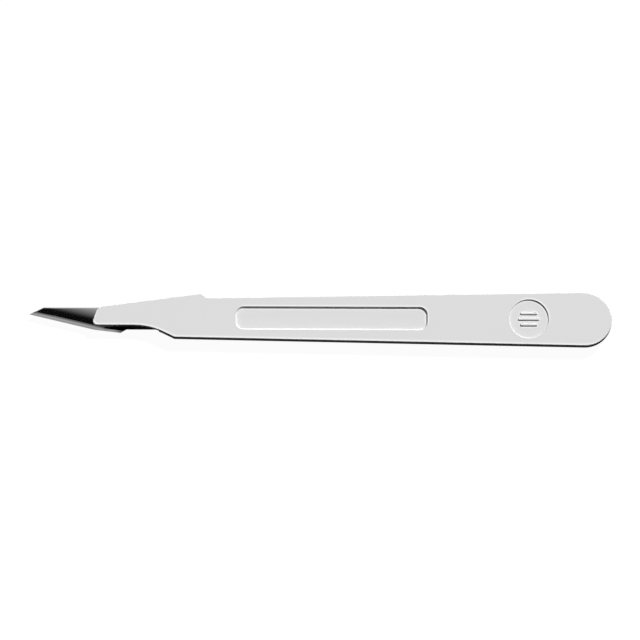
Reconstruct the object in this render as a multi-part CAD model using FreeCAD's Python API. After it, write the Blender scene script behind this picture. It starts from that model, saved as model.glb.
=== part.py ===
"""Disposable scalpel with a pointed, straight-edged steel blade heat-staked to a one-piece
moulded plastic handle.

It lies on the flat back of its handle. X runs along the scalpel, from the blade's point at the
low end to the handle's tail. Y is across it, with the cutting edge on the low side. Z is up,
out of the moulded front face. The origin is under the middle of the whole length, on the plane
that the back lies on. Lengths are in millimetres.
"""

import FreeCAD
import Part
import math
import os

from FreeCAD import Vector

# Whole scalpel
overall_length = 160.0
tip_x = -overall_length / 2
tail_x = overall_length / 2

# Blade: stations are distances from its point, and its tang is centred on the handle's axis
blade_length = 41.15
blade_width = 6.04
blade_thickness = 0.4
blade_rear_slant = 2.9
blade_rear_radius = 0.6
point_drop = 1.94
point_facet_length = 3.95
belly_station = 18.0
belly_drop = 0.14
belly_radius = 14.0
heel_station = 25.1
heel_drop = 0.95
heel_ramp = 1.65

# Grind of the blade, the same on both sides: a wide bevel, then a steeper honed edge.
# The blade is stamped a little too wide along the edge, and the hone takes that off.
bevel_width = 1.15
bevel_angle = 8.5
hone_angle = 18.0
grinding_allowance = 0.5

# Keyhole slot in the tang, narrow ahead and wide behind
slot_length = 15.0
slot_to_tang_end = 5.0
slot_narrow_width = 2.4
slot_front_flat = 0.4
slot_wide_width = 3.8
slot_wide_length = 5.6
slot_step_radius = 0.3
slot_rear_radius = 0.9

# Boss of the handle that fills the slot, and its head that holds the tang
boss_clearance = 0.08
boss_head_overlap = 0.5
boss_head_height = 0.7
boss_head_radius = 0.25

# Handle in plan
handle_thickness = 3.4
front_rim_radius = 0.2
back_rim_radius = 0.1
neck_station = 48.9
neck_width = 11.07
tail_station = 150.8
tail_width = 14.72
tail_upper_overreach = 0.8
tail_lower_overreach = 0.12
tail_end_radius = 4.5

# Hump on the upper edge, where the index finger stops
hump_length = 1.8
hump_rise = 1.22
hump_crest_radius = 0.7
hump_foot_radius = 1.1

# Nose that covers the tang on the front. It reaches ahead of the slot. Its top corner is cut
# off, so the tang's back edge shows there, and more of the tang shows past its foot.
nose_top_lead = 2.45
nose_top_inset = 0.07
nose_cut_down = 1.0
nose_cut_back = 1.3
nose_cut_radius = 1.5
nose_foot_lead = 4.0
nose_foot_inset = 0.94
nose_foot_radius = 1.15

# Shoulder where the lower edge sweeps from the nose down to the full width
shoulder_station = 39.9
shoulder_angle = 26.0
shoulder_sweep_radius = 19.0
shoulder_corner_radius = 0.8

# Pocket in the handle's back that the tang lies in. Its walls reach that far ahead of the
# tang's rear corners.
seat_height = 1.7
pocket_clearance = 0.1
pocket_corner_radius = 0.5
upper_wall_length = 11.0
lower_wall_length = 2.7

# Sunk panel in the front face
panel_length = 52.7
panel_height = 6.5
panel_corner_radius = 2.2
panel_from_neck = 7.77
panel_depth = 0.5
panel_wall_run = 0.4

# Sunk disc in the front face, with plain raised ribs on its floor
disc_radius = 5.45
disc_from_tail = 22.85
disc_depth = 0.32
disc_wall_run = 0.1
rib_lengths = (4.6, 5.8, 4.6)
rib_pitch = 1.57
rib_width = 0.65
rib_end_radius = 0.2
rib_height = 0.3
rib_rim_radius = 0.15

# Ejector pin marks left in the moulded back
ejector_mark_radius = 1.6
ejector_mark_depth = 0.12
ejector_mark_count = 3
ejector_mark_from_tang = 21.0
ejector_mark_from_tail = 26.0

# Room that a cutting tool is given past the face it starts from
overcut = 2.0


def station(distance):
    """X of a place that far from the blade's point."""
    return tip_x + distance


def leg(start, end):
    return Part.LineSegment(start, end).toShape()


def arc_about(centre, start, end):
    """Arc from start to end round centre, the short way."""
    spread = (start - centre) + (end - centre)
    middle = centre + spread.normalize() * (start - centre).Length
    return Part.Arc(start, middle, end).toShape()


def rounding(before, corner, after, radius):
    """Where the rounding of a corner starts and ends, and its arc. Radius 0 leaves it sharp."""
    if radius == 0:
        return corner, corner, []
    back = (before - corner).normalize()
    onward = (after - corner).normalize()
    half_angle = back.getAngle(onward) / 2
    start = corner + back * (radius / math.tan(half_angle))
    end = corner + onward * (radius / math.tan(half_angle))
    centre = corner + (back + onward).normalize() * (radius / math.sin(half_angle))
    return start, end, [arc_about(centre, start, end)]


def rounded_path(corners):
    """Edges through (point, radius) corners, all but the two ends rounded to their radius."""
    edges = []
    last = corners[0][0]
    for (before, _), (corner, radius), (after, _) in zip(corners, corners[1:], corners[2:]):
        start, end, arc = rounding(before, corner, after, radius)
        edges += [leg(last, start), *arc]
        last = end
    return edges + [leg(last, corners[-1][0])]


def rounded_loop(corners):
    """Closed wire through (point, radius) corners, each rounded to its radius."""
    following = corners[1:] + corners[:1]
    rounds = [
        rounding(corners[i - 1][0], corner, following[i][0], radius)
        for i, (corner, radius) in enumerate(corners)
    ]
    edges = []
    for i, (start, _, arc) in enumerate(rounds):
        edges += [leg(rounds[i - 1][1], start), *arc]
    return Part.Wire(edges)


def prism(wire, bottom, top):
    """Solid that stands on the plane outline, from height bottom to height top."""
    face = Part.Face(wire)
    face.translate(Vector(0, 0, bottom))
    return face.extrude(Vector(0, 0, top - bottom))


def body_half_width(x):
    """Half the handle's width, which grows evenly from the neck to the tail."""
    share = (x - station(neck_station)) / (tail_station - neck_station)
    return (neck_width + (tail_width - neck_width) * share) / 2


def tail_taper():
    """Angle between the axis and either long edge."""
    return math.atan((tail_width - neck_width) / 2 / (tail_station - neck_station))


def tail_corner(overreach):
    """Centre and radius of the arc at the tail's upper corner, tangent to the upper edge and to
    the end arc. It is centred that far past the axis, which leaves the tail a little pointed."""
    slope = math.tan(tail_taper())
    radius = tail_width / 2 + overreach
    end_x = tail_x - tail_end_radius
    # The centre runs on a line one radius inside the upper edge, and lies where it is as far
    # from the end arc's centre as the two radii differ.
    height = body_half_width(0) - radius / math.cos(tail_taper())
    a = 1 + slope**2
    b = 2 * (slope * height - end_x)
    c = end_x**2 + height**2 - (radius - tail_end_radius) ** 2
    centre_x = (-b - math.sqrt(b**2 - 4 * a * c)) / (2 * a)
    return Vector(centre_x, slope * centre_x + height, 0), radius


def tail_edges():
    """Three arcs round the tail, from the lower edge to the upper one, each tangent to the next."""
    end_centre = Vector(tail_x - tail_end_radius, 0, 0)
    starts, joins, centres = [], [], []
    for side, overreach in ((-1, tail_lower_overreach), (1, tail_upper_overreach)):
        centre, radius = tail_corner(overreach)
        centre.y *= side
        square_to_edge = Vector(-math.sin(tail_taper()), side * math.cos(tail_taper()), 0)
        centres.append(centre)
        starts.append(centre + square_to_edge * radius)
        joins.append(end_centre + (end_centre - centre).normalize() * tail_end_radius)
    return *starts, [
        arc_about(centres[0], starts[0], joins[0]),
        arc_about(end_centre, *joins),
        arc_about(centres[1], joins[1], starts[1]),
    ]


def handle_outline():
    """Outline of the handle's front: tail, upper edge with its hump, nose, shoulder."""
    lower_start, upper_start, tail = tail_edges()
    hump_foot = Vector(station(neck_station), body_half_width(station(neck_station)), 0)
    hump_crest = hump_foot + Vector(-hump_length, hump_rise, 0)
    nose_top = Vector(slot_front() - nose_top_lead, blade_width / 2 - nose_top_inset, 0)
    nose_foot = Vector(slot_front() - nose_foot_lead, -blade_width / 2 + nose_foot_inset, 0)
    cut_front = nose_top + (nose_foot - nose_top).normalize() * nose_cut_down
    cut_rear = nose_top + (hump_crest - nose_top).normalize() * nose_cut_back
    shoulder = Vector(station(shoulder_station), -body_half_width(station(shoulder_station)), 0)
    sweep_run = (nose_foot.y - shoulder.y) / math.tan(math.radians(shoulder_angle))
    side = rounded_path(
        [
            (upper_start, 0),
            (hump_foot, hump_foot_radius),
            (hump_crest, hump_crest_radius),
            (cut_rear, nose_cut_radius),
            (cut_front, nose_cut_radius),
            (nose_foot, nose_foot_radius),
            (Vector(shoulder.x - sweep_run, nose_foot.y, 0), shoulder_sweep_radius),
            (shoulder, shoulder_corner_radius),
            (lower_start, 0),
        ]
    )
    return Part.Wire(side + tail)


def rim_edges(solid, z):
    """Edges of a solid that lie at height z."""
    return [e for e in solid.Edges if max(abs(e.BoundBox.ZMin - z), abs(e.BoundBox.ZMax - z)) < 1e-6]


def solid_handle():
    """Handle before its pocket and recesses. The front rim is rounded, and the back rim, where
    the mould parts, is only broken."""
    solid = prism(handle_outline(), 0, handle_thickness)
    solid = solid.makeFillet(front_rim_radius, rim_edges(solid, handle_thickness))
    return solid.makeFillet(back_rim_radius, rim_edges(solid, 0))


def tang_end(clearance):
    """Upper and lower corners of the slanted end of the tang, or of the room round it."""
    side = blade_width / 2 + clearance
    rear_x = station(blade_length) + clearance
    return Vector(rear_x, side, 0), Vector(rear_x - blade_rear_slant, -side, 0)


def tang_pocket():
    """Tool for the pocket: a seat for the tang, open past the nose and over the cutting edge."""
    upper, lower = tang_end(pocket_clearance)
    upper_wall_x = upper.x - upper_wall_length
    lower_wall_x = lower.x - lower_wall_length
    corners = [
        (Vector(tip_x, -tail_width, 0), 0),
        (Vector(lower_wall_x, -tail_width, 0), 0),
        (Vector(lower_wall_x, lower.y, 0), 0),
        (lower, pocket_corner_radius),
        (upper, pocket_corner_radius),
        (Vector(upper_wall_x, upper.y, 0), 0),
        (Vector(upper_wall_x, tail_width, 0), 0),
        (Vector(tip_x, tail_width, 0), 0),
    ]
    return prism(rounded_loop(corners), -overcut, seat_height)


def slot_front():
    """X of the front end of the slot in the tang."""
    return station(blade_length - slot_to_tang_end - slot_length)


def keyhole(grow):
    """Outline of the slot in the tang, grown outwards by that much on all sides."""
    front = slot_front() - grow
    rear = slot_front() + slot_length + grow
    narrow = slot_narrow_width / 2 + grow
    wide = slot_wide_width / 2 + grow
    front_round = narrow - slot_front_flat / 2
    rear_round = slot_rear_radius + grow
    # The two widths are joined at 45 degrees, and growing moves those corners half as steeply.
    step_end = rear - grow - slot_wide_length - grow * math.tan(math.radians(45 / 2))
    step_start = step_end - (wide - narrow)
    return rounded_loop(
        [
            (Vector(front, -narrow, 0), front_round),
            (Vector(step_start, -narrow, 0), slot_step_radius),
            (Vector(step_end, -wide, 0), slot_step_radius),
            (Vector(rear, -wide, 0), rear_round),
            (Vector(rear, wide, 0), rear_round),
            (Vector(step_end, wide, 0), slot_step_radius),
            (Vector(step_start, narrow, 0), slot_step_radius),
            (Vector(front, narrow, 0), front_round),
        ]
    )


def staked_boss():
    """Boss that stands through the slot, with its end spread over the tang as a flat head."""
    blade_back = seat_height - blade_thickness
    head_end = blade_back - boss_head_height
    head = prism(keyhole(boss_head_overlap), head_end, blade_back)
    # The post runs from inside the head to inside the nose, so that the three fuse.
    post_bottom = blade_back - boss_head_height / 2
    post_top = (seat_height + handle_thickness) / 2
    post = prism(keyhole(-boss_clearance), post_bottom, post_top)
    return head.makeFillet(boss_head_radius, rim_edges(head, head_end)).fuse(post)


def panel_outline(grow, z):
    """Outline of the long panel at the front face, grown outwards by that much, at height z."""
    near = station(neck_station) + panel_from_neck - grow
    far = near + panel_length + 2 * grow
    side = panel_height / 2 + grow
    corners = [(near, -side), (far, -side), (far, side), (near, side)]
    return rounded_loop([(Vector(x, y, z), panel_corner_radius + grow) for x, y in corners])


def sunk_panel():
    """Tool for the long panel: a flat floor and walls that lean outwards. The walls keep their
    lean past the front face, so that the tool cuts through it."""
    past_face = panel_wall_run * overcut / panel_depth
    floor = panel_outline(-panel_wall_run, handle_thickness - panel_depth)
    mouth = panel_outline(past_face, handle_thickness + overcut)
    return Part.makeLoft([floor, mouth], True, True)


def sunk_disc():
    """Tool for the round recess near the tail, with walls that lean outwards like the panel's."""
    past_face = disc_wall_run * overcut / disc_depth
    floor_centre = Vector(tail_x - disc_from_tail, 0, handle_thickness - disc_depth)
    depth = disc_depth + overcut
    return Part.makeCone(disc_radius - disc_wall_run, disc_radius + past_face, depth, floor_centre)


def disc_ribs():
    """Plain ribs that stand on the disc's floor, side by side along the handle."""
    floor = handle_thickness - disc_depth
    top = floor + rib_height
    first_y = -rib_pitch * (len(rib_lengths) - 1) / 2
    ribs = []
    for i, length in enumerate(rib_lengths):
        middle = Vector(tail_x - disc_from_tail, first_y + i * rib_pitch, 0)
        reach = Vector(length / 2, 0, 0)
        half = Vector(0, rib_width / 2, 0)
        near, far = middle - reach, middle + reach
        corners = (near - half, far - half, far + half, near + half)
        outline = [(corner, rib_end_radius) for corner in corners]
        # Each rib starts below the floor, so that it fuses with it.
        rib = prism(rounded_loop(outline), floor - rib_height, top)
        ribs.append(rib.makeFillet(rib_rim_radius, rim_edges(rib, top)))
    return ribs


def ejector_marks():
    """Tools for the shallow round marks, evenly spaced along the back's middle line."""
    first = station(blade_length) + ejector_mark_from_tang
    last = tail_x - ejector_mark_from_tail
    pitch = (last - first) / (ejector_mark_count - 1)
    depth = ejector_mark_depth + overcut
    starts = [Vector(first + i * pitch, 0, -overcut) for i in range(ejector_mark_count)]
    return [Part.makeCylinder(ejector_mark_radius, depth, start) for start in starts]


def handle():
    """The whole moulding: one solid."""
    solid = solid_handle().cut(tang_pocket()).fuse(staked_boss())
    for tool in [sunk_panel(), sunk_disc(), *ejector_marks()]:
        solid = solid.cut(tool)
    for rib in disc_ribs():
        solid = solid.fuse(rib)
    return solid.removeSplitter()


def cutting_edge():
    """Corners of the cutting edge: point, belly and heel. It is straight to the belly, and
    flatter from there to the heel."""
    half = blade_width / 2
    point = Vector(tip_x, half - point_drop, 0)
    belly = Vector(station(belly_station), -half - belly_drop, 0)
    heel = Vector(station(heel_station), -half - heel_drop, 0)
    return point, belly, heel


def past(start, end, distance):
    """Place that lies that far beyond end on the line from start."""
    return end + (end - start).normalize() * distance


def stamped_outline():
    """Outline of the blade as stamped, with the grinding allowance along the cutting edge."""
    point, belly, heel = cutting_edge()
    back_corner = Vector(tip_x + point_facet_length, blade_width / 2, 0)
    ramp_top = heel + Vector(heel_ramp, heel_drop, 0)
    upper_end, lower_end = tang_end(0)
    return rounded_loop(
        [
            (back_corner, 0),
            (past(back_corner, point, grinding_allowance), 0),
            (belly - Vector(0, grinding_allowance, 0), 0),
            (past(ramp_top, heel, grinding_allowance), 0),
            (ramp_top, 0),
            (lower_end, blade_rear_radius),
            (upper_end, blade_rear_radius),
        ]
    )


def grind(path, angle, apex):
    """Tool that grinds both sides along a path of edges. Its two faces lie at that angle to the
    blade, and meet that far inside the path."""
    start = path[0].valueAt(path[0].FirstParameter)
    along = path[0].tangentAt(path[0].FirstParameter)
    inward = Vector(-along.y, along.x, 0)
    rise = Vector(0, 0, blade_thickness)
    meet = start + inward * apex + Vector(0, 0, seat_height - blade_thickness / 2)
    deep = meet + inward * (blade_thickness / math.tan(math.radians(angle)))
    clear = meet - inward * overcut
    profile = Part.makePolygon([meet, deep + rise, clear + rise, clear - rise, deep - rise, meet])
    return Part.Wire(path).makePipeShell([profile], True, False)


def blade():
    """Stamped steel blade with its keyhole slot, ground and honed along the lower edge."""
    back = seat_height - blade_thickness
    point, belly, heel = cutting_edge()
    run_in = past(belly, point, overcut)
    # The bevel is ground straight and the edge is not, so it narrows towards the heel.
    bevel_apex = bevel_width - blade_thickness / 2 / math.tan(math.radians(bevel_angle))
    bevel_path = [leg(run_in, past(point, belly, blade_length))]
    edge_path = rounded_path([(run_in, 0), (belly, belly_radius), (past(belly, heel, blade_length), 0)])
    solid = prism(stamped_outline(), back, seat_height)
    solid = solid.cut(prism(keyhole(0), back - overcut, seat_height + overcut))
    solid = solid.cut(grind(bevel_path, bevel_angle, bevel_apex))
    return solid.cut(grind(edge_path, hone_angle, 0))


if __name__ == "__main__":
    os.makedirs("parts", exist_ok=True)
    for name, shape in {"handle": handle(), "blade": blade()}.items():
        shape.exportStep(f"parts/{name}.step")
        print(name, "solids", len(shape.Solids), "valid", shape.isValid(), "volume", round(shape.Volume, 3))
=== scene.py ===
"""A disposable scalpel lying on a pale table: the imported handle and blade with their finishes, a soft
studio light, and a camera almost straight above, as in the photograph."""
import math

import bmesh
import bpy
from mathutils import Matrix, Vector


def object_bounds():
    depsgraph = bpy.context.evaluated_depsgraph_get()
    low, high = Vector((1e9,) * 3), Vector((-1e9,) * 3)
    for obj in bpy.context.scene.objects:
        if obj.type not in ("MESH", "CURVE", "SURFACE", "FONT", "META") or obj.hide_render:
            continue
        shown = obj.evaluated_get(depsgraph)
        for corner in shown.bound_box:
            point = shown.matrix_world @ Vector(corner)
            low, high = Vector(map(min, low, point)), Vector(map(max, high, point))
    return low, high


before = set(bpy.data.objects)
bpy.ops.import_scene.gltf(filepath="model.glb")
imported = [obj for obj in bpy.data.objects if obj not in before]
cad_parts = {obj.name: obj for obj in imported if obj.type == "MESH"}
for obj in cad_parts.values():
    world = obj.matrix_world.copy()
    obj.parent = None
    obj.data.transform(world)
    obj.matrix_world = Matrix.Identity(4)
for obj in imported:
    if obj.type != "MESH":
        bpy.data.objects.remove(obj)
MM = 0.001
cad_low, cad_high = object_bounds()

# Handle
# One injection moulding in light grey plastic with an even satin face. The walls of the mould were left
# matt, and the rims, where the melt turns the corner, come out a little smoother. The rims on the lower
# left side get a painted highlight that makes them lighter.
PLASTIC_GREY = (0.722, 0.722, 0.722, 1)
PLASTIC_CLOUD = (0.708, 0.708, 0.708, 1)
# Painted highlight: the lighter grey laid on the rims of the lower left side
PLASTIC_PAINTED_HIGHLIGHT = (0.90, 0.90, 0.90, 1)
PLASTIC_IOR = 1.5
PLASTIC_GLOSS = 0.12
FACE_ROUGHNESS = 0.46
FACE_UNEVENNESS = 0.05
RIM_ROUGHNESS = 0.34
WALL_ROUGHNESS = 1.0
CLOUDS = {"Scale": 60.0, "Detail": 2.0}
MOULD_GRAIN = {"Scale": 3200.0, "Detail": 2.0}
MOULD_GRAIN_HEIGHT = 0.006 * MM

# Width of the rims that get a painted highlight and the side they are on, how far the rounded normal has
# to lean there, and how upright the face is that they lie on. Walls are what has turned by these degrees
# from lying flat.
RIM_REACH = 1.2 * MM
RIM_SIDE = (-0.55, -0.84, 0)
RIM_LEAN = (0.02, 0.2)
FACE_UPRIGHT = 0.7
ROUNDING_SAMPLES = 16
WALL_SLOPE = {"Low": 55.0, "High": 85.0}


def place_node(tree, kind, x, y, **settings):
    """Adds one shader node at a place in the editor and sets what it is told to."""
    node = tree.nodes.new(kind)
    node.location = (x, y)
    for name, value in settings.items():
        setattr(node, name, value)
    return node


def give(tree, target, value):
    """Links the value to a node's input if it is a socket, or else sets it there."""
    if isinstance(value, bpy.types.NodeSocket):
        tree.links.new(value, target)
    else:
        target.default_value = value


def maths(tree, x, y, operation, *values):
    """The result of one step of arithmetic on numbers or sockets."""
    node = place_node(tree, "ShaderNodeMath", x, y, operation=operation)
    for target, value in zip(node.inputs, values):
        give(tree, target, value)
    return node.outputs[0]


def ramp(tree, x, y, value, start, end, low=0.0, high=1.0, easing="SMOOTHSTEP"):
    """A value turned into a ramp, from low where it is at start to high where it is at end."""
    node = place_node(tree, "ShaderNodeMapRange", x, y, interpolation_type=easing)
    give(tree, node.inputs["Value"], value)
    give(tree, node.inputs["From Min"], start)
    give(tree, node.inputs["From Max"], end)
    give(tree, node.inputs["To Min"], low)
    give(tree, node.inputs["To Max"], high)
    return node.outputs["Result"]


def new_group(name, inputs, outputs):
    """Starts a node group with named inputs, each with its value, and named outputs."""
    group = bpy.data.node_groups.new(name, "ShaderNodeTree")
    for label, kind, value in inputs:
        made = group.interface.new_socket(name=label, in_out="INPUT", socket_type=kind)
        made.default_value = value
    for label, kind in outputs:
        group.interface.new_socket(name=label, in_out="OUTPUT", socket_type=kind)
    start = place_node(group, "NodeGroupInput", -700, -300)
    end = place_node(group, "NodeGroupOutput", 700, 0)
    return group, start.outputs, end.inputs


def surface_grain():
    """Fine marks of the tool on a surface: noise drawn out along one axis, from 0 to 1."""
    group, start, end = new_group(
        "surface_grain",
        [
            ("Scale", "NodeSocketFloat", 1000.0),
            ("Stretch", "NodeSocketVector", (1, 1, 1)),
            ("Detail", "NodeSocketFloat", 3.0),
        ],
        [("Grain", "NodeSocketFloat")],
    )
    where = place_node(group, "ShaderNodeTexCoord", -900, 0)
    drawn = place_node(group, "ShaderNodeVectorMath", -450, 0, operation="MULTIPLY")
    noise = place_node(group, "ShaderNodeTexNoise", -200, 0)
    give(group, drawn.inputs[0], where.outputs["Object"])
    give(group, drawn.inputs[1], start["Stretch"])
    give(group, noise.inputs["Vector"], drawn.outputs[0])
    give(group, noise.inputs["Scale"], start["Scale"])
    give(group, noise.inputs["Detail"], start["Detail"])
    give(group, end["Grain"], noise.outputs["Fac"])
    return group


def turned_from_flat():
    """A mask of how far the surface is turned away from lying flat: 0 at Low, 1 at High, in degrees."""
    group, start, end = new_group(
        "turned_from_flat",
        [("Low", "NodeSocketFloat", 5.0), ("High", "NodeSocketFloat", 30.0)],
        [("Mask", "NodeSocketFloat")],
    )
    surface = place_node(group, "ShaderNodeNewGeometry", -900, 0)
    parts = place_node(group, "ShaderNodeSeparateXYZ", -700, 0)
    give(group, parts.inputs[0], surface.outputs["Normal"])
    upright = maths(group, -500, 0, "ABSOLUTE", parts.outputs["Z"])
    angle = maths(group, -300, 0, "ARCCOSINE", upright)
    degrees = maths(group, -100, 0, "DEGREES", angle)
    give(group, end["Mask"], ramp(group, 150, 0, degrees, start["Low"], start["High"]))
    return group


def painted_highlight_rim():
    """A mask of the strip along the rims on one side, where a highlight is painted, from 1 at the rim to 0
    at Reach from it.
    """
    group, start, end = new_group(
        "painted_highlight_rim",
        [("Reach", "NodeSocketFloat", 0.5 * MM), ("Side", "NodeSocketVector", (0, -1, 0))],
        [("Mask", "NodeSocketFloat")],
    )
    surface = place_node(group, "ShaderNodeNewGeometry", -500, -200)
    rounded = place_node(group, "ShaderNodeBevel", -500, 0, samples=ROUNDING_SAMPLES)
    turned = place_node(group, "ShaderNodeVectorMath", -250, 0, operation="SUBTRACT")
    leaning = place_node(group, "ShaderNodeVectorMath", -50, 0, operation="DOT_PRODUCT")
    upright = place_node(group, "ShaderNodeSeparateXYZ", -250, -200)
    give(group, rounded.inputs["Radius"], start["Reach"])
    give(group, turned.inputs[0], rounded.outputs["Normal"])
    give(group, turned.inputs[1], surface.outputs["Normal"])
    give(group, leaning.inputs[0], turned.outputs[0])
    give(group, leaning.inputs[1], start["Side"])
    give(group, upright.inputs[0], surface.outputs["Normal"])
    strip = ramp(group, 150, 0, leaning.outputs["Value"], *RIM_LEAN)
    face = maths(group, 150, -250, "GREATER_THAN", upright.outputs["Z"], FACE_UPRIGHT)
    give(group, end["Mask"], maths(group, 400, 0, "MULTIPLY", strip, face))
    return group


GRAIN = surface_grain()
TURNED = turned_from_flat()
RIM = painted_highlight_rim()


def use_group(tree, group, x, y, **values):
    """Places a node group in a material with its own values, and gives what comes out of it."""
    node = place_node(tree, "ShaderNodeGroup", x, y, node_tree=group)
    for name, value in values.items():
        give(tree, node.inputs[name], value)
    return node.outputs[0]


def mix_colour(tree, x, y, mask, first, second):
    """Goes from the first colour to the second by a mask. Each is a colour or a socket."""
    node = place_node(tree, "ShaderNodeMix", x, y, data_type="RGBA")
    give(tree, node.inputs["Factor"], mask)
    give(tree, node.inputs[6], first)
    give(tree, node.inputs[7], second)
    return node.outputs[2]


def mix_value(tree, x, y, mask, first, second):
    """Goes from the first value to the second by a mask. Each is a number or a socket."""
    node = place_node(tree, "ShaderNodeMix", x, y, data_type="FLOAT")
    give(tree, node.inputs["Factor"], mask)
    give(tree, node.inputs[2], first)
    give(tree, node.inputs[3], second)
    return node.outputs[0]


def relief(tree, x, y, height, distance=1.0):
    """A bump node over a height, which the distance turns into a length where it isn't one yet."""
    node = place_node(tree, "ShaderNodeBump", x, y)
    give(tree, node.inputs["Height"], height)
    give(tree, node.inputs["Distance"], distance)
    return node


def new_material(name):
    """A material with its Principled shader, ready to be dressed."""
    material = bpy.data.materials.new(name)
    material.use_nodes = True
    return material, material.node_tree, material.node_tree.nodes["Principled BSDF"].inputs


def moulded_plastic():
    """Light grey polystyrene: faint clouds in the face, a painted highlight and a smoother finish on the
    rims of the near side, matt walls.
    """
    material, tree, shader = new_material("moulded_plastic")
    cloud = use_group(tree, GRAIN, -900, 300, **CLOUDS)
    grain = use_group(tree, GRAIN, -900, -300, **MOULD_GRAIN)
    rim = use_group(tree, RIM, -900, 0, Reach=RIM_REACH, Side=RIM_SIDE)
    wall = use_group(tree, TURNED, -900, -150, **WALL_SLOPE)

    face = mix_colour(tree, -600, 300, cloud, PLASTIC_GREY, PLASTIC_CLOUD)
    # Painted highlight: the rims on the lower left side are turned a lighter grey
    with_painted_highlight = mix_colour(tree, -350, 300, rim, face, PLASTIC_PAINTED_HIGHLIGHT)
    give(tree, shader["Base Color"], mix_colour(tree, -150, 300, wall, with_painted_highlight, PLASTIC_GREY))

    smoothest = FACE_ROUGHNESS - FACE_UNEVENNESS
    roughest = FACE_ROUGHNESS + FACE_UNEVENNESS
    satin = mix_value(tree, -600, 0, grain, smoothest, roughest)
    smooth = mix_value(tree, -350, 0, rim, satin, RIM_ROUGHNESS)
    give(tree, shader["Roughness"], mix_value(tree, -150, 0, wall, smooth, WALL_ROUGHNESS))

    bump = relief(tree, -350, -300, grain, MOULD_GRAIN_HEIGHT)
    give(tree, shader["Normal"], bump.outputs["Normal"])
    shader["IOR"].default_value = PLASTIC_IOR
    shader["Specular IOR Level"].default_value = PLASTIC_GLOSS
    return material


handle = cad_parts["handle"]
handle.data.materials.clear()
handle.data.materials.append(moulded_plastic())

# Blade
# Stamped from rolled steel strip, polished flat, then ground on both sides along the edge and honed.
# The grinding wheel leaves fine lines across the blade. The slot in the tang sits on the handle's boss.
STEEL = (0.58, 0.58, 0.58, 1)
STEEL_SHADE = (0.53, 0.53, 0.535, 1)
GROUND_STEEL = (0.48, 0.48, 0.485, 1)
# Painted shade: the near-black grey that darkens the bevel towards its shoulder
BEVEL_PAINTED_SHADE = (0.16, 0.16, 0.162, 1)
# The honed edge's own grey, darkened in part as painted shade for its darker reflection
HONED_STEEL_AND_SHADE = (0.41, 0.41, 0.415, 1)
# Painted shade: the near-black that the steel darkens to towards the heel, under the handle's nose
HEEL_PAINTED_SHADE = (0.08, 0.08, 0.081, 1)
FLAT_ROUGHNESS = 0.08
GROUND_ROUGHNESS = 0.24
LINE_ROUGHNESS = 0.02
LINE_HEIGHT = 0.0002 * MM
ROLLED_LINES = {"Scale": 2500.0, "Stretch": (0.05, 1, 1), "Detail": 3.0}
GROUND_LINES = {"Scale": 6000.0, "Stretch": (1, 0.06, 0.06), "Detail": 3.0}

# Slopes in degrees where the bevel and the honed edge begin, and places along the blade where each darkens
# towards the heel with painted shade, under the handle's nose
BEVEL_SLOPE = {"Low": 3.0, "High": 7.0}
HONE_SLOPE = {"Low": 11.0, "High": 15.0}
BEVEL_FADE = (-60.2 * MM, -55.5 * MM)
HONE_FADE = (-57.3 * MM, -53.9 * MM)

# Two places on the cutting edge, how far inside it the bevel's shoulder and the flat's crown begin, and
# how far the painted shade on the bevel reaches from its shoulder towards the edge
POINT = Vector((-80.0, 1.08, 0)) * MM
BELLY = Vector((-62.0, -3.16, 0)) * MM
SHOULDER = 1.15 * MM
SHOULDER_REACH = 0.65 * MM
CROWN_START = 2.3 * MM
CROWN_POWER = 2.26
CROWN_TILT = math.radians(1.72) / MM ** (CROWN_POWER - 1)

# How far polishing has rounded the edges, and where it hasn't
SOFT_SHOULDER = 0.8 * MM
SOFT_SPINE = 0.42 * MM
KEEN_STRIP = 0.5 * MM
CRISP_TANG = -59.5 * MM
CRISP_POINT = (-80.0 * MM, -73.0 * MM)
CRISP_SHARE = 0.2


def edge_depth(tree, x, y, place):
    """How far inside the straight part of the cutting edge a place on the blade lies."""
    onward = (BELLY - POINT).normalized()
    inward = Vector((-onward.y, onward.x, 0))
    level = place_node(tree, "ShaderNodeVectorMath", x, y, operation="DOT_PRODUCT")
    give(tree, level.inputs[0], place)
    give(tree, level.inputs[1], inward)
    return maths(tree, x + 180, y, "SUBTRACT", level.outputs["Value"], POINT.dot(inward))


def crowned_flat(tree, x, y, depth):
    """Height of the flat, which the polishing wheel leaves falling away from the bevel to the spine."""
    past = maths(tree, x, y, "SUBTRACT", depth, CROWN_START)
    only = maths(tree, x + 180, y, "MAXIMUM", past, 0.0)
    curved = maths(tree, x + 360, y, "POWER", only, CROWN_POWER)
    return maths(tree, x + 540, y, "MULTIPLY", curved, -CROWN_TILT / CROWN_POWER)


def worn_edges(tree, x, y, depth, along):
    """How far the blade's edges are rounded by polishing: the bevel's shoulder most, the spine less,
    and the keen edge and the tang not at all."""
    reach = ramp(tree, x, y, depth, SHOULDER, 2 * SHOULDER, SOFT_SHOULDER, SOFT_SPINE, easing="LINEAR")
    off_edge = maths(tree, x, y - 200, "GREATER_THAN", depth, KEEN_STRIP)
    off_tang = maths(tree, x, y - 350, "LESS_THAN", along, CRISP_TANG)
    off_point = ramp(tree, x, y - 500, along, *CRISP_POINT, low=CRISP_SHARE, easing="LINEAR")
    between = maths(tree, x + 180, y - 400, "MULTIPLY", off_tang, off_point)
    worn = maths(tree, x + 360, y - 250, "MULTIPLY", off_edge, between)
    return maths(tree, x + 540, y, "MULTIPLY", reach, worn)


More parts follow.
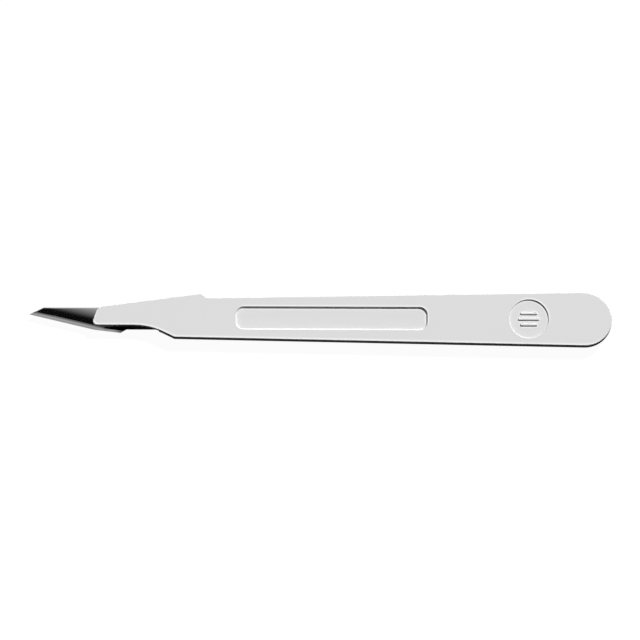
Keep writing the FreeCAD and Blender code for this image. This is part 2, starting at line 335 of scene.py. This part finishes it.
def steel_colour(tree, lines, bevel, honed, depth, along):
    """A grey for the flat, the bevel and the honed edge, with painted shade near the bevel's shoulder,
    partly on the honed edge, and on each towards the heel.
    """
    flat = mix_colour(tree, -900, 500, lines, STEEL, STEEL_SHADE)
    # Painted shade: the bevel is darkened near its shoulder and eases to its own grey towards the edge
    shoulder_shade_fade = ramp(tree, -1100, 700, depth, SHOULDER, SHOULDER - SHOULDER_REACH)
    ground = mix_colour(tree, -900, 700, shoulder_shade_fade, BEVEL_PAINTED_SHADE, GROUND_STEEL)
    side = mix_colour(tree, -750, 700, bevel, flat, ground)
    # Painted shade: the flat, the bevel and the honed edge darken towards the heel
    side_fade = ramp(tree, -1100, 500, along, *BEVEL_FADE)
    edge_fade = ramp(tree, -1100, 300, along, *HONE_FADE)
    side_to_heel = mix_colour(tree, -600, 700, side_fade, side, HEEL_PAINTED_SHADE)
    edge_to_heel = mix_colour(tree, -600, 500, edge_fade, HONED_STEEL_AND_SHADE, HEEL_PAINTED_SHADE)
    return mix_colour(tree, -450, 400, honed, side_to_heel, edge_to_heel)


def ground_steel():
    """Bright strip steel: a polished flat with a slight crown, a ground bevel and a honed edge."""
    material, tree, shader = new_material("ground_steel")
    place = place_node(tree, "ShaderNodeTexCoord", -2500, -600).outputs["Object"]
    parts = place_node(tree, "ShaderNodeSeparateXYZ", -2300, -800)
    give(tree, parts.inputs[0], place)
    along = parts.outputs["X"]
    depth = edge_depth(tree, -2300, -600, place)
    bevel = use_group(tree, TURNED, -1200, -300, **BEVEL_SLOPE)
    honed = use_group(tree, TURNED, -1200, -450, **HONE_SLOPE)
    rolled_lines = use_group(tree, GRAIN, -1200, 150, **ROLLED_LINES)
    ground_lines = use_group(tree, GRAIN, -1200, 0, **GROUND_LINES)
    lines = mix_value(tree, -1000, 150, bevel, rolled_lines, ground_lines)
    give(tree, shader["Base Color"], steel_colour(tree, lines, bevel, honed, depth, along))

    finish = mix_value(tree, -600, -100, bevel, FLAT_ROUGHNESS, GROUND_ROUGHNESS)
    give(tree, shader["Roughness"], maths(tree, -350, -100, "MULTIPLY_ADD", lines, LINE_ROUGHNESS, finish))

    soft = place_node(tree, "ShaderNodeBevel", -750, -650, samples=ROUNDING_SAMPLES)
    give(tree, soft.inputs["Radius"], worn_edges(tree, -1700, -900, depth, along))
    crown = relief(tree, -550, -500, crowned_flat(tree, -1700, -600, depth))
    give(tree, crown.inputs["Normal"], soft.outputs["Normal"])
    scratches = relief(tree, -350, -300, lines, LINE_HEIGHT)
    give(tree, scratches.inputs["Normal"], crown.outputs["Normal"])
    give(tree, shader["Normal"], scratches.outputs["Normal"])
    shader["Metallic"].default_value = 1.0
    return material


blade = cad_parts["blade"]
blade.data.materials.clear()
blade.data.materials.append(ground_steel())

# Table
# A plain white table top. Seen directly or in the steel it is white with the scalpel's faint shadow, and
# it throws little light back on the scalpel's walls, as in the photograph.
TABLE_HALF = 6.0
TABLE_DROP = 0.02 * MM
TABLE_GLOW = 0.96
TABLE_SHEEN = (0.08, 0.08, 0.08, 1)
TABLE_BOUNCE = (0.02, 0.02, 0.02, 1)


def shows_background(tree, x, y):
    """1 for a camera, glossy or transmission ray, which all show the background."""
    rays = place_node(tree, "ShaderNodeLightPath", x, y).outputs
    mirrored = maths(tree, x + 200, y, "MAXIMUM", rays["Is Camera Ray"], rays["Is Glossy Ray"])
    return maths(tree, x + 400, y, "MAXIMUM", mirrored, rays["Is Transmission Ray"])


def white_table():
    """White as a background, and almost black to the light that falls back on the scalpel."""
    material = bpy.data.materials.new("white_table")
    material.use_nodes = True
    tree = material.node_tree
    tree.nodes.clear()
    end = place_node(tree, "ShaderNodeOutputMaterial", 600, 0)
    either = place_node(tree, "ShaderNodeMixShader", 400, 0)
    seen = place_node(tree, "ShaderNodeAddShader", 200, -100)
    bounce = place_node(tree, "ShaderNodeBsdfDiffuse", 0, 100)
    sheen = place_node(tree, "ShaderNodeBsdfDiffuse", 0, -100)
    glow = place_node(tree, "ShaderNodeEmission", 0, -250)
    bounce.inputs["Color"].default_value = TABLE_BOUNCE
    sheen.inputs["Color"].default_value = TABLE_SHEEN
    glow.inputs["Strength"].default_value = TABLE_GLOW
    give(tree, seen.inputs[0], sheen.outputs[0])
    give(tree, seen.inputs[1], glow.outputs[0])
    give(tree, either.inputs["Fac"], shows_background(tree, -500, 300))
    give(tree, either.inputs[1], bounce.outputs[0])
    give(tree, either.inputs[2], seen.outputs[0])
    give(tree, end.inputs["Surface"], either.outputs[0])
    return material


table_shape = bmesh.new()
bmesh.ops.create_grid(table_shape, x_segments=1, y_segments=1, size=TABLE_HALF)
bmesh.ops.translate(table_shape, verts=table_shape.verts, vec=(0, 0, cad_low.z - TABLE_DROP))
table_mesh = bpy.data.meshes.new("table")
table_shape.to_mesh(table_mesh)
table_shape.free()
table = bpy.data.objects.new("table", table_mesh)
bpy.context.scene.collection.objects.link(table)
table.data.materials.append(white_table())

# Light
# A soft key lamp from the upper right, a weak even fill, and the studio that the steel mirrors: white
# walls with a dark gap overhead, which the flat of the blade shows.
KEY_AZIMUTH = 57.0
KEY_ELEVATION = 38.0
KEY_SPREAD = 7.0
KEY_LIGHT = 0.985
FILL = 0.02

# Where a direction's part along Y or Z is fully dark, and where it is fully white
GAP_NEAR = (0.04, -0.12)
GAP_FAR = (0.20, 0.54)
GAP_SIDES = (0.70, 0.30)


def studio():
    """The studio as a background and in the steel, and a weak even fill for every other ray."""
    world = bpy.data.worlds.new("studio")
    world.use_nodes = True
    tree = world.node_tree
    tree.nodes.clear()
    direction = place_node(tree, "ShaderNodeTexCoord", -600, -200)
    parts = place_node(tree, "ShaderNodeSeparateXYZ", -400, -200)
    give(tree, parts.inputs[0], direction.outputs["Generated"])
    near = ramp(tree, -150, -100, parts.outputs["Y"], *GAP_NEAR, easing="LINEAR")
    far = ramp(tree, -150, -300, parts.outputs["Y"], *GAP_FAR, easing="LINEAR")
    sides = ramp(tree, -150, -500, parts.outputs["Z"], *GAP_SIDES, easing="LINEAR")
    before_or_behind = maths(tree, 50, -150, "MAXIMUM", near, far)
    bright = maths(tree, 250, -150, "MAXIMUM", before_or_behind, sides)

    end = place_node(tree, "ShaderNodeOutputWorld", 900, 0)
    either = place_node(tree, "ShaderNodeMixShader", 700, 0)
    fill = place_node(tree, "ShaderNodeBackground", 450, 100)
    walls = place_node(tree, "ShaderNodeBackground", 450, -100)
    fill.inputs["Strength"].default_value = FILL
    give(tree, walls.inputs["Strength"], bright)
    give(tree, either.inputs["Fac"], shows_background(tree, -300, 400))
    give(tree, either.inputs[1], fill.outputs[0])
    give(tree, either.inputs[2], walls.outputs[0])
    give(tree, end.inputs["Surface"], either.outputs[0])
    return world


lamp = bpy.data.lights.new("key", "SUN")
lamp.angle = math.radians(KEY_SPREAD)
lamp.energy = KEY_LIGHT * math.pi / math.sin(math.radians(KEY_ELEVATION))
key = bpy.data.objects.new("key", lamp)
bpy.context.scene.collection.objects.link(key)
key.rotation_euler = (0, math.radians(90 - KEY_ELEVATION), math.radians(KEY_AZIMUTH))
bpy.context.scene.world = studio()

# Camera
# Long lens, ten degrees off straight down on the near side, and rolled by a fifth of a degree. The middle
# of the picture lies a little to the left of the scalpel's origin and a little above it.
ELEVATION = 80.0
ROLL = 0.0034
LENS = 500.0
SENSOR = 36.0
CLIP = (0.01, 20.0)
SEEN_WIDTH = 175.57 * MM
FACE_HEIGHT = 3.0 * MM
PICTURE_PIXELS = 640
ORIGIN_RIGHT = 0.6 / PICTURE_PIXELS
ORIGIN_DOWN = 0.3 / PICTURE_PIXELS

tilt = math.radians(ELEVATION)
back = Vector((0, -math.cos(tilt), math.sin(tilt)))
level_right = Vector((1, 0, 0))
level_up = back.cross(level_right)
right = level_right * math.cos(ROLL) + level_up * math.sin(ROLL)
up = level_up * math.cos(ROLL) - level_right * math.sin(ROLL)
distance = SEEN_WIDTH * LENS / SENSOR + FACE_HEIGHT * math.sin(tilt)
target = (up * ORIGIN_DOWN - right * ORIGIN_RIGHT) * SEEN_WIDTH
lens = bpy.data.cameras.new("camera")
lens.sensor_width = SENSOR
lens.lens = LENS
lens.clip_start, lens.clip_end = CLIP
camera = bpy.data.objects.new("camera", lens)
bpy.context.scene.collection.objects.link(camera)
turn = Matrix((right, up, back)).transposed().to_4x4()
camera.matrix_world = Matrix.Translation(target + back * distance) @ turn
bpy.context.scene.camera = camera
bpy.context.scene.view_settings.view_transform = "Standard"
